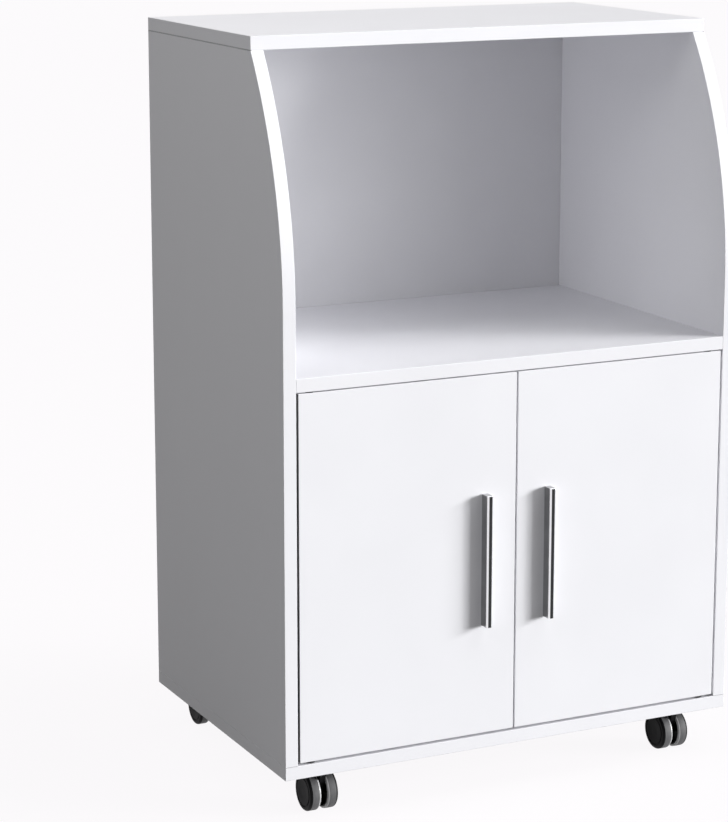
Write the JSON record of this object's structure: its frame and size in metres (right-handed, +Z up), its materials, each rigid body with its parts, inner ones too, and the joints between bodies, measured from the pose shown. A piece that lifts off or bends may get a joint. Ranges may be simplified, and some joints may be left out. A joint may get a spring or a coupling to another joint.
{
  "type": "kitchen cart",
  "caption": "Free-standing kitchen cart on casters: open bay with curved side fronts over a cupboard with inset hinged doors and upright bar handles.",
  "frame": {"origin": "floor level, under the middle of the bounding box", "axes": "+Z up, -Y towards the front with the doors, +X to the right seen from the front"},
  "size_m": [0.6, 0.415, 0.906],
  "materials": {
    "white_board": "smooth white coated board",
    "back_sheet": "thin hardboard, white front, raw brown rear",
    "chrome": "polished chrome",
    "zinc_steel": "zinc-plated steel",
    "black_plastic": "semi-gloss black nylon",
    "beech": "plain beech dowel",
    "white_plastic": "satin white plastic",
    "magnet": "sintered ferrite"
  },
  "bodies": {
    "cabinet": {"top_panel": "white_board", "bottom_panel": "white_board", "middle_shelf": "white_board", "back_panel": "back_sheet", "top_dowels": "beech", "shelf_dowels": "beech", "bottom_dowels": "beech", "bottom_screws": "zinc_steel", "cam_bolts": "zinc_steel", "cam_locks": "zinc_steel", "back_nails": "zinc_steel", "catch_screws": "zinc_steel", "caster_plate_screws": "zinc_steel", "catch_housing": "white_plastic", "catch_magnets": "magnet", "left_side_panel": "white_board", "right_side_panel": "white_board", "left_lower_pivot_pin": "zinc_steel", "left_upper_pivot_pin": "zinc_steel", "right_lower_pivot_pin": "zinc_steel", "right_upper_pivot_pin": "zinc_steel", "front_left_caster_plate": "zinc_steel", "front_left_swivel_pin": "zinc_steel", "front_right_caster_plate": "zinc_steel", "front_right_swivel_pin": "zinc_steel", "back_left_caster_plate": "zinc_steel", "back_left_swivel_pin": "zinc_steel", "back_right_caster_plate": "zinc_steel", "back_right_swivel_pin": "zinc_steel"},
    "left_door": {"left_door": "white_board", "left_handle": "chrome", "left_handle_screws": "zinc_steel", "left_strike_plate": "zinc_steel", "left_strike_screw": "zinc_steel", "left_lower_door_bush": "white_plastic", "left_upper_door_bush": "white_plastic"},
    "right_door": {"right_door": "white_board", "right_handle": "chrome", "right_handle_screws": "zinc_steel", "right_strike_plate": "zinc_steel", "right_strike_screw": "zinc_steel", "right_lower_door_bush": "white_plastic", "right_upper_door_bush": "white_plastic"},
    "front_left_caster": {"front_left_caster_hood": "black_plastic", "front_left_axle": "zinc_steel"},
    "front_left_wheel_left": {"front_left_wheel_left": "black_plastic"},
    "front_left_wheel_right": {"front_left_wheel_right": "black_plastic"},
    "front_right_caster": {"front_right_caster_hood": "black_plastic", "front_right_axle": "zinc_steel"},
    "front_right_wheel_left": {"front_right_wheel_left": "black_plastic"},
    "front_right_wheel_right": {"front_right_wheel_right": "black_plastic"},
    "back_left_caster": {"back_left_caster_hood": "black_plastic", "back_left_axle": "zinc_steel"},
    "back_left_wheel_left": {"back_left_wheel_left": "black_plastic"},
    "back_left_wheel_right": {"back_left_wheel_right": "black_plastic"},
    "back_right_caster": {"back_right_caster_hood": "black_plastic", "back_right_axle": "zinc_steel"},
    "back_right_wheel_left": {"back_right_wheel_left": "black_plastic"},
    "back_right_wheel_right": {"back_right_wheel_right": "black_plastic"}
  },
  "joints": [
    {"name": "left_door_hinge", "type": "hinge", "parent": "cabinet", "child": "left_door", "pos_m": [-0.2655, -0.1845, 0.2927], "axis": [0, 0, -1], "range_deg": [0, 120]},
    {"name": "right_door_hinge", "type": "hinge", "parent": "cabinet", "child": "right_door", "pos_m": [0.2655, -0.1845, 0.2927], "axis": [0, 0, 1], "range_deg": [0, 120]},
    {"name": "front_left_swivel", "type": "hinge", "parent": "cabinet", "child": "front_left_caster", "pos_m": [-0.242, -0.1605, 0.054], "axis": [0, 0, 1], "continuous": true},
    {"name": "front_left_wheel_left_spin", "type": "hinge", "parent": "front_left_caster", "child": "front_left_wheel_left", "pos_m": [-0.242, -0.1525, 0.023], "axis": [1, 0, 0], "continuous": true},
    {"name": "front_left_wheel_right_spin", "type": "hinge", "parent": "front_left_caster", "child": "front_left_wheel_right", "pos_m": [-0.242, -0.1525, 0.023], "axis": [1, 0, 0], "continuous": true},
    {"name": "front_right_swivel", "type": "hinge", "parent": "cabinet", "child": "front_right_caster", "pos_m": [0.242, -0.1605, 0.054], "axis": [0, 0, 1], "continuous": true},
    {"name": "front_right_wheel_left_spin", "type": "hinge", "parent": "front_right_caster", "child": "front_right_wheel_left", "pos_m": [0.242, -0.1525, 0.023], "axis": [1, 0, 0], "continuous": true},
    {"name": "front_right_wheel_right_spin", "type": "hinge", "parent": "front_right_caster", "child": "front_right_wheel_right", "pos_m": [0.242, -0.1525, 0.023], "axis": [1, 0, 0], "continuous": true},
    {"name": "back_left_swivel", "type": "hinge", "parent": "cabinet", "child": "back_left_caster", "pos_m": [-0.242, 0.1755, 0.054], "axis": [0, 0, 1], "continuous": true},
    {"name": "back_left_wheel_left_spin", "type": "hinge", "parent": "back_left_caster", "child": "back_left_wheel_left", "pos_m": [-0.242, 0.1835, 0.023], "axis": [1, 0, 0], "continuous": true},
    {"name": "back_left_wheel_right_spin", "type": "hinge", "parent": "back_left_caster", "child": "back_left_wheel_right", "pos_m": [-0.242, 0.1835, 0.023], "axis": [1, 0, 0], "continuous": true},
    {"name": "back_right_swivel", "type": "hinge", "parent": "cabinet", "child": "back_right_caster", "pos_m": [0.242, 0.1755, 0.054], "axis": [0, 0, 1], "continuous": true},
    {"name": "back_right_wheel_left_spin", "type": "hinge", "parent": "back_right_caster", "child": "back_right_wheel_left", "pos_m": [0.242, 0.1835, 0.023], "axis": [1, 0, 0], "continuous": true},
    {"name": "back_right_wheel_right_spin", "type": "hinge", "parent": "back_right_caster", "child": "back_right_wheel_right", "pos_m": [0.242, 0.1835, 0.023], "axis": [1, 0, 0], "continuous": true}
  ]
}
